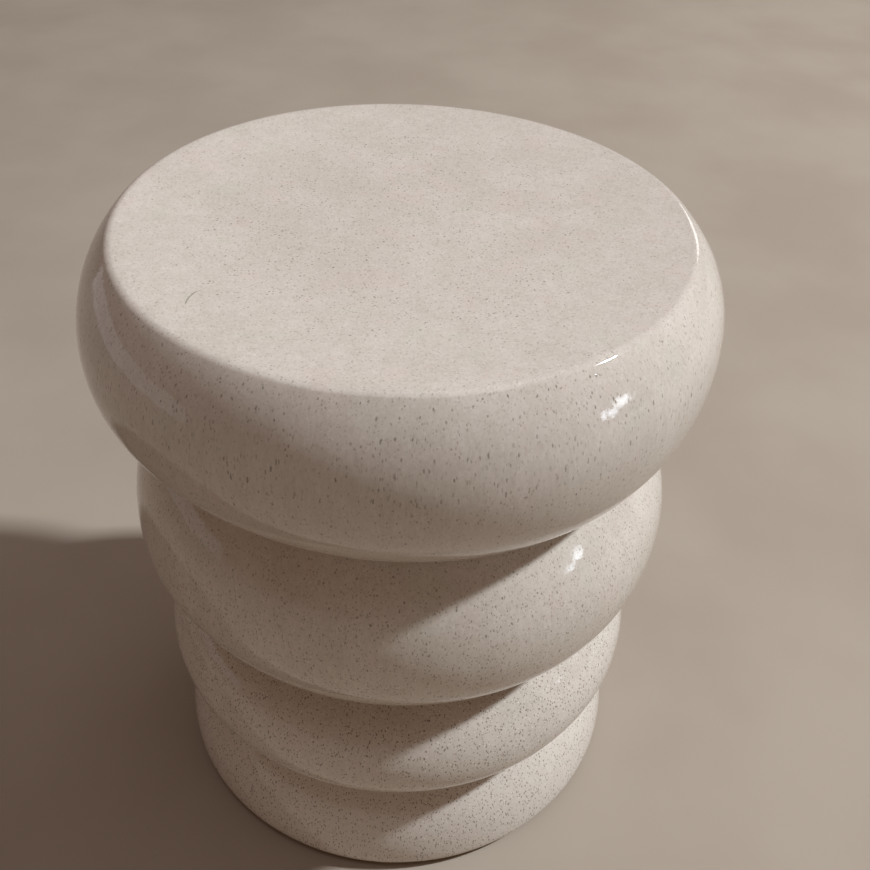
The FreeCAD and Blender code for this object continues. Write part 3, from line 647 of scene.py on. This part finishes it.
def scraped(points, which, normal):
    under = (normal[:, 2] < -0.9) & (points[:, 2] < SEAM_Z + 0.1)
    r = np.hypot(points[:, 0], points[:, 1])
    inner = np.clip((172.0 - r) / 12.0, 0, 1)
    n = noise3(points / 30.0 + 8.8)
    ribs = 0.5 + 0.5 * np.cos(r / 6.5 * 2 * math.pi + 2 * n)
    return -(under * inner) * (0.22 * ribs + 0.5 * (n + 0.7))


seat = turned("seat_clay", prof, 256, scraped)
crisp(seat, 40.0)
place(seat, CLAY_MAT, "bare_stoneware", "seat_slab")

# walls of the four bulges
lip = CREASE["ab"][0] - LAND
top_in = (on_z(SIDE, SEAM_Z, WALL), SEAM_Z)
apex_in = (APEX["a"][0] - WALL, APEX["a"][1])
low_in = (lip, on_r(LOW["a"], lip, -1, WALL))
clay_part("top_wall_clay",
          [line((lip, CREASE["ab"][1]), CREASE["ab"], 4.0),
           arc(LOW["a"][0], CREASE["ab"], APEX["a"], 6.0),
           arc(SIDE_C, APEX["a"], seam_out, 6.0),
           line(seam_out, top_in, 3.0),
           arc(SIDE_C, top_in, apex_in, 1.8),
           arc(LOW["a"][0], apex_in, low_in, 1.8),
           line(low_in, (lip, CREASE["ab"][1]), 1.5)],
          288, CLAY_MAT, "bare_stoneware", "top_bulge_wall", (4, 5, 6))


def middle(name, key, above, below, node):
    top, low, apex = CREASE[above], CREASE[below], APEX[key]
    tl, ll = top[0] - LAND, low[0] - LAND
    up_in = (tl, on_r(UP[key], tl, 1, WALL))
    lo_in = (ll, on_r(LOW[key], ll, -1, WALL))
    ap_in = (apex[0] - WALL, apex[1])
    clay_part(name,
              [line((ll, low[1]), low, 4.0),
               arc(LOW[key][0], low, apex, 6.0),
               arc(UP[key][0], apex, top, 6.0),
               line(top, (tl, top[1]), 4.0),
               line((tl, top[1]), up_in, 1.5),
               arc(UP[key][0], up_in, ap_in, 1.8),
               arc(LOW[key][0], ap_in, lo_in, 1.8),
               line(lo_in, (ll, low[1]), 1.5)],
              288, CLAY_MAT, "bare_stoneware", node, (4, 5, 6, 7))


middle("second_wall_clay", "b", "ab", "bc", "second_bulge_wall")
middle("third_wall_clay", "c", "bc", "cd", "third_bulge_wall")

lip = CREASE["cd"][0] - LAND
base_in = (APEX["d"][0] - WALL, APEX["d"][1])
lip_in = (lip, on_r(UP["d"], lip, 1, WALL))
clay_part("fourth_wall_clay",
          [line(base_in, APEX["d"], 4.0),
           arc(UP["d"][0], APEX["d"], CREASE["cd"], 6.0),
           line(CREASE["cd"], (lip, CREASE["cd"][1]), 4.0),
           line((lip, CREASE["cd"][1]), lip_in, 1.5),
           arc(UP["d"][0], lip_in, base_in, 1.8)],
          288, CLAY_MAT, "bare_stoneware", "fourth_bulge_wall", (3, 4))

# foot ring: turned edges, ground underside, hand-cut opening
edge_c = (OPEN_R + OPEN_ROUND, OPEN_ROUND)
edge_t = (OPEN_R + OPEN_ROUND, APEX["d"][1] - OPEN_ROUND)
foot_turn = LOW["d"]
toe_z = FOOT_ROUND
toe = (on_z(foot_turn, toe_z), toe_z)
prof = join(
    arc(edge_c, (OPEN_R, OPEN_ROUND), (OPEN_R + OPEN_ROUND, 0.0), 0.8),
    line((OPEN_R + OPEN_ROUND, 0.0), (toe[0] - FOOT_ROUND, 0.0), 2.0),
    arc((toe[0] - FOOT_ROUND, FOOT_ROUND), (toe[0] - FOOT_ROUND, 0.0), toe, 0.5),
    arc(foot_turn[0], toe, APEX["d"], 1.5),
    line(APEX["d"], (OPEN_R + OPEN_ROUND, APEX["d"][1]), 3.0),
    arc(edge_t, (OPEN_R + OPEN_ROUND, APEX["d"][1]), (OPEN_R, APEX["d"][1] - OPEN_ROUND), 0.8),
    line((OPEN_R, APEX["d"][1] - OPEN_ROUND), (OPEN_R, OPEN_ROUND), 1.6))
prof = prof[:-1]


def cut_opening(points, which, normal):
    r = np.hypot(points[:, 0], points[:, 1])
    n = noise3(points / np.array([17.0, 17.0, 9.0]) + 2.2)
    small = noise3(points / 5.0 + 7.7)
    into = np.clip((OPEN_R + 6.0 - r) / 6.0, 0, 1)
    ground = (normal[:, 2] < -0.95).astype(float) * np.clip((r - OPEN_R - 4.5) / 2, 0, 1)
    toes = ((points[:, 2] < 3.5) & (r > 160)).astype(float)
    return -(into * (0.55 * (n + 0.75) + 0.12 * (small + 0.7)) + ground * 0.10 * (small + 0.7)
             + toes * 0.20 * (small + 0.7))


foot = turned("foot_ring_clay", prof, 360, cut_opening)
crisp(foot, 50.0)
place(foot, FOOT_MAT, "ground_foot", "foot_ring")


# coils, pressed down with a finger all the way round
def pressed(count, depth, phase, back, proud=0.0):
    def f(points, which, normal):
        th = np.arctan2(points[:, 1], points[:, 0])
        n = noise3(points / 14.0 + phase)
        fine = noise3(points / 4.0 - phase)
        dent = (0.5 + 0.5 * np.cos(count * th + phase + 2.2 * n)) ** 1.5
        on = 1.0 - np.isin(which, back).astype(float)
        return on * (proud - depth * dent - 0.35 * (n + 0.7) - 0.08 * (fine + 0.7))
    return f


def coil(name, key, node, count, phase):
    lip, z = CREASE[key][0] - LAND, CREASE[key][1]
    c = (lip, z)
    a, b = (lip, z - COIL_HALF), (lip, z + COIL_HALF)
    tip = (lip - COIL_BULGE, z)
    prof = join(arc(c, b, tip, 0.9), arc(c, tip, a, 0.9), line(a, b, 4.0))[:-1]
    near = [i for i, p in enumerate(prof) if p[0] > lip - 1e-6]
    obj = turned(name, prof, 480, pressed(count, 0.7, phase, near))
    crisp(obj, 60.0)
    return place(obj, COIL_MAT, "luting_clay", node)


coil("upper_coil_clay", "ab", "upper_crease_coil", 57, 0.4)
coil("middle_coil_clay", "bc", "middle_crease_coil", 53, 1.9)
coil("lower_coil_clay", "cd", "lower_crease_coil", 54, 3.1)


# under the seat
cr = on_z(SIDE, SEAM_Z, WALL)
a, b = (cr - LEG, SEAM_Z), (cr, SEAM_Z)
c = (on_z(SIDE, SEAM_Z - LEG, WALL), SEAM_Z - LEG)
_half = 0.5 * math.dist(a, c)
_ux, _uz = (a[0] - c[0]) / (2 * _half), (a[1] - c[1]) / (2 * _half)
_reach = math.sqrt(HOLLOW ** 2 - _half ** 2)
hollow = (0.5 * (a[0] + c[0]) - _uz * _reach, 0.5 * (a[1] + c[1]) + _ux * _reach)
prof = join(line(b, a, 2.0), arc(hollow, a, c, 0.9), arc(SIDE_C, c, b, 2.0))[:-1]
near = [i for i, p in enumerate(prof) if p[1] > SEAM_Z - 1e-6 or abs(math.dist(p, SIDE_C) - (SIDE_R - WALL)) < 1e-3]
obj = turned("seat_coil_clay", prof, 480, pressed(66, 0.45, 5.0, near, 0.45))
crisp(obj, 60.0)
place(obj, COIL_MAT, "luting_clay", "seat_joint_coil")

# on the foot ring
bz = APEX["d"][1]
a, b = (APEX["d"][0] - WALL - LEG, bz), (APEX["d"][0] - WALL, bz)
c = (on_z(UP["d"], bz + LEG, WALL), bz + LEG)
prof = join(arc(UP["d"][0], b, c, 2.0), arc((APEX["d"][0] - WALL - LEG, bz + LEG), c, a, 0.9), line(a, b, 2.0))[:-1]
near = [i for i, p in enumerate(prof) if p[1] < bz + 1e-6 or abs(math.dist(p, UP["d"][0]) - (UP["d"][1] - WALL)) < 1e-3]
obj = turned("foot_coil_clay", prof, 480, pressed(60, 0.45, 0.9, near, 0.45))
crisp(obj, 60.0)
place(obj, COIL_MAT, "luting_clay", "foot_joint_coil")

# ------------------------------------------------------------ floor and light
floor_mesh = bpy.data.meshes.new("floor")
S = 6.0
floor_mesh.from_pydata([(-S, -S, 0), (S, -S, 0), (S, S, 0), (-S, S, 0)], [], [(0, 1, 2, 3)])
floor = bpy.data.objects.new("floor", floor_mesh)
bpy.context.scene.collection.objects.link(floor)
m = Nodes("pale_floor")
m.link(m.mix(m.ramp(m.noise(m.mm, 0.004, 3.0, 0.5), 0.3, 0.7), srgb(167, 155, 142), srgb(175, 164, 151)), m.bsdf.inputs["Base Color"])
m.bsdf.inputs["Roughness"].default_value = 0.85
m.bsdf.inputs["Specular IOR Level"].default_value = 0.2
floor_mesh.materials.append(m.mat)


def lamp(name, direction, distance, size, power, colour, target=(0.0, 0.0, 0.25), spread=180.0):
    d = Vector(direction).normalized()
    data = bpy.data.lights.new(name, "AREA")
    data.shape = "RECTANGLE"
    data.size, data.size_y = size
    data.energy, data.color = power, colour
    data.spread = math.radians(spread)
    obj = bpy.data.objects.new(name, data)
    obj.location = Vector(target) + d * distance
    obj.rotation_euler = d.to_track_quat("Z", "Y").to_euler()
    bpy.context.scene.collection.objects.link(obj)
    return obj


def toward(azimuth, elevation):
    """Azimuth from +Y towards +X, in degrees."""
    a, e = math.radians(azimuth), math.radians(elevation)
    return (math.sin(a) * math.cos(e), math.cos(a) * math.cos(e), math.sin(e))


lamp("key", (0.721, 0.046, 0.691), 8.0, (0.48, 0.48), 655.0, (0.92, 0.965, 1.0))
lamp("overhead", toward(0, 90), 2.2, (2.0, 2.0), 11.0, (0.97, 0.95, 1.0))
lamp("left_soft", toward(-82, 1), 2.6, (3.0, 0.50), 1.7, (0.94, 0.93, 1.0))
lamp("right_pane_a", toward(105.5, 8), 2.0, (0.25, 0.30), 0.0115, (0.86, 0.93, 1.0), target=(0.107, -0.16, 0.429), spread=12.0)
lamp("right_pane_b", toward(111.5, 4.5), 2.0, (0.20, 0.24), 0.0060, (0.80, 0.90, 1.0), target=(0.107, -0.16, 0.429), spread=12.0)
lamp("back_low", toward(30, 18), 2.4, (0.55, 0.40), 2.2, (1.0, 0.97, 0.94), target=(0.16, 0.0, 0.45))

world = bpy.data.worlds.new("room")
world.use_nodes = True
world.node_tree.nodes["Background"].inputs["Color"].default_value = (1.0, 0.62, 0.41, 1.0)
world.node_tree.nodes["Background"].inputs["Strength"].default_value = 0.138
bpy.context.scene.world = world
bpy.context.scene.view_settings.view_transform = "Standard"
bpy.context.scene.view_settings.look = "None"

# ------------------------------------------------------------------- camera
PITCH, YAW, ROLL, FOCAL = 0.6916, 0.0413, 0.0397, 1044.587
fwd = Vector((math.sin(YAW) * math.cos(PITCH), math.cos(YAW) * math.cos(PITCH), -math.sin(PITCH)))
right = Vector((math.cos(YAW), -math.sin(YAW), 0.0))
up = right.cross(fwd)
r2 = math.cos(ROLL) * right + math.sin(ROLL) * up
u2 = -math.sin(ROLL) * right + math.cos(ROLL) * up
cam = bpy.data.cameras.new("camera")
cam.sensor_fit, cam.sensor_width = "HORIZONTAL", 36.0
cam.lens = FOCAL * 36.0 / 870.0
cam.clip_start, cam.clip_end = 0.05, 40.0
camera = bpy.data.objects.new("camera", cam)
camera.matrix_world = Matrix(((r2.x, u2.x, -fwd.x, 0.0), (r2.y, u2.y, -fwd.y, -0.56993),
                              (r2.z, u2.z, -fwd.z, 0.75108), (0, 0, 0, 1)))
bpy.context.scene.collection.objects.link(camera)
bpy.context.scene.camera = camera
